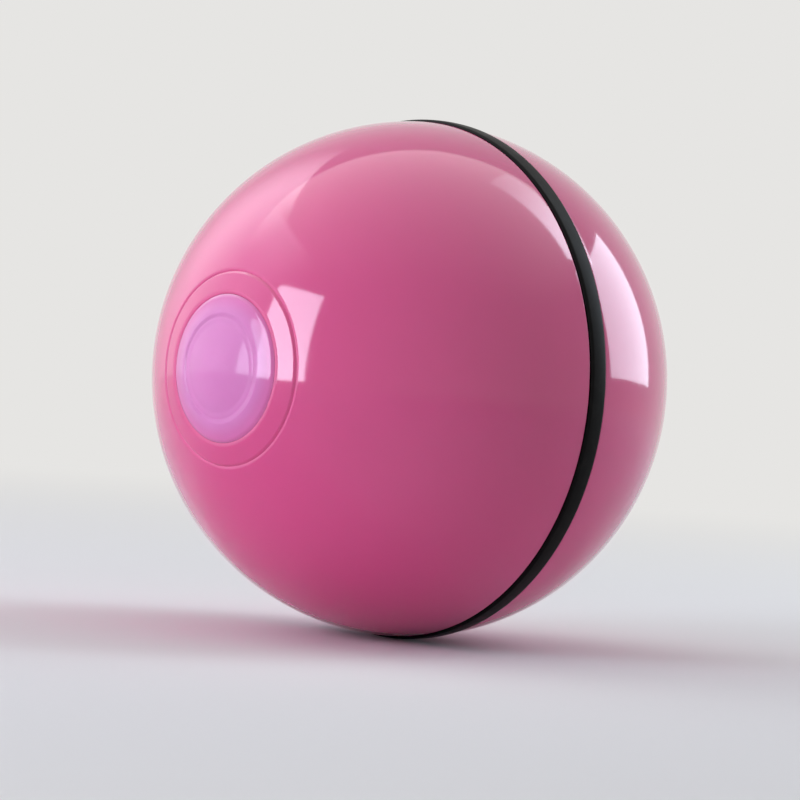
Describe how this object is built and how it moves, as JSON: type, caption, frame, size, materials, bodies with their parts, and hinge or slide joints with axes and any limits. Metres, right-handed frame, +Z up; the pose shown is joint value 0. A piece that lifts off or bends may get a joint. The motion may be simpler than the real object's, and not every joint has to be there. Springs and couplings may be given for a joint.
{
  "type": "self-rolling pet ball",
  "caption": "Motor-driven rolling toy ball for pets: two domed shell halves that twist apart, a rubber seam ring, and a weighted drive core hung on the axle inside.",
  "frame": {"origin": "the ball's centre", "axes": "+X along the axle from the driven left half to the right half that twists off, +Z up, with the core's weight hanging towards -Z"},
  "size_m": [0.064, 0.0646, 0.0646],
  "materials": {
    "pink_shell": "glossy moulded plastic",
    "lilac_cap": "glossy moulded plastic, a little bluer than the shell",
    "black_rubber": "smooth moulded rubber",
    "hub_plastic": "moulded acetal, natural white",
    "core_housing": "fine-textured moulded plastic",
    "gear_plastic": "moulded acetal, natural white",
    "steel": "bright zinc-plated steel",
    "motor_steel": "drawn nickel-plated steel",
    "weight_steel": "blackened steel",
    "bronze": "sintered bronze",
    "brass_tab": "tinned brass strip",
    "black_plastic": "moulded black plastic",
    "white_plastic": "moulded white plastic",
    "button_plastic": "glossy moulded plastic",
    "lens_plastic": "clear moulded plastic",
    "lamp": "white lamp body with a yellow filling",
    "board": "solder-masked glass-fibre board",
    "battery_wrap": "aluminised pouch film",
    "foam": "closed-cell foam tape",
    "lead_insulation": "soft lead insulation"
  },
  "bodies": {
    "left_half": {"left_shell": "pink_shell", "left_pole_cap": "lilac_cap", "left_hub": "hub_plastic", "left_hub_screws": "steel", "output_shaft": "steel", "output_gear": "gear_plastic", "shaft_clip": "steel", "thrust_washer": "white_plastic"},
    "core": {"core_cup": "core_housing", "core_cover": "core_housing", "cover_screws": "steel", "cup_bush": "bronze", "plate_bush": "bronze", "gear_plate": "white_plastic", "gear_plate_screws": "steel", "gear_pins": "steel", "stub_axle": "steel", "motor_can": "motor_steel", "motor_end_cap": "white_plastic", "motor_tabs": "brass_tab", "motor_leads": "lead_insulation", "battery": "battery_wrap", "battery_pad": "foam", "battery_leads": "lead_insulation", "counterweight": "weight_steel", "control_board": "board", "board_screws": "steel", "charging_socket": "motor_steel", "charging_tongue": "black_plastic", "tact_switch": "black_plastic", "motion_switch": "motor_steel", "control_chip": "black_plastic", "small_components": "black_plastic", "lamps": "lamp", "lamp_lenses": "lens_plastic"},
    "second_gear": {"second_gear": "gear_plastic"},
    "first_gear": {"first_gear": "gear_plastic"},
    "rotor": {"motor_shaft": "steel", "motor_pinion": "gear_plastic"},
    "seam_ring": {"seam_ring": "black_rubber"},
    "right_half": {"right_shell": "pink_shell", "right_pole_cap": "lilac_cap", "right_hub": "hub_plastic", "right_hub_screws": "steel", "right_bush": "bronze"},
    "button": {"power_button": "button_plastic", "switch_plunger": "white_plastic"}
  },
  "joints": [
    {"name": "core_roll", "type": "hinge", "parent": "left_half", "child": "core", "pos_m": [0, 0, 0], "axis": [1, 0, 0], "continuous": true},
    {"name": "second_gear_spin", "type": "hinge", "parent": "core", "child": "second_gear", "pos_m": [0, 0.01076, 0.00098], "axis": [1, 0, 0], "continuous": true},
    {"name": "first_gear_spin", "type": "hinge", "parent": "core", "child": "first_gear", "pos_m": [0, 0.00869, -0.00799], "axis": [1, 0, 0], "continuous": true},
    {"name": "motor_spin", "type": "hinge", "parent": "core", "child": "rotor", "pos_m": [0, 0, -0.011], "axis": [1, 0, 0], "continuous": true},
    {"name": "shell_twist", "type": "hinge", "parent": "left_half", "child": "seam_ring", "pos_m": [0, 0, 0], "axis": [1, 0, 0], "range_deg": [0, 360]},
    {"name": "shell_pull", "type": "slide", "parent": "seam_ring", "child": "right_half", "axis": [1, 0, 0], "range_m": [0, 0.03]},
    {"name": "button_press", "type": "slide", "parent": "core", "child": "button", "axis": [-1, 0, 0], "range_m": [0, 0.0005], "stiffness_N_per_m": 2000, "springref_m": -0.0003}
  ],
  "couplings": [
    {"joint": "second_gear_spin", "follows": "core_roll", "ratio": 4.4},
    {"joint": "first_gear_spin", "follows": "core_roll", "ratio": -15.84},
    {"joint": "motor_spin", "follows": "core_roll", "ratio": 57.024},
    {"joint": "shell_pull", "follows": "shell_twist", "m_per_rad": 0.0047746}
  ]
}
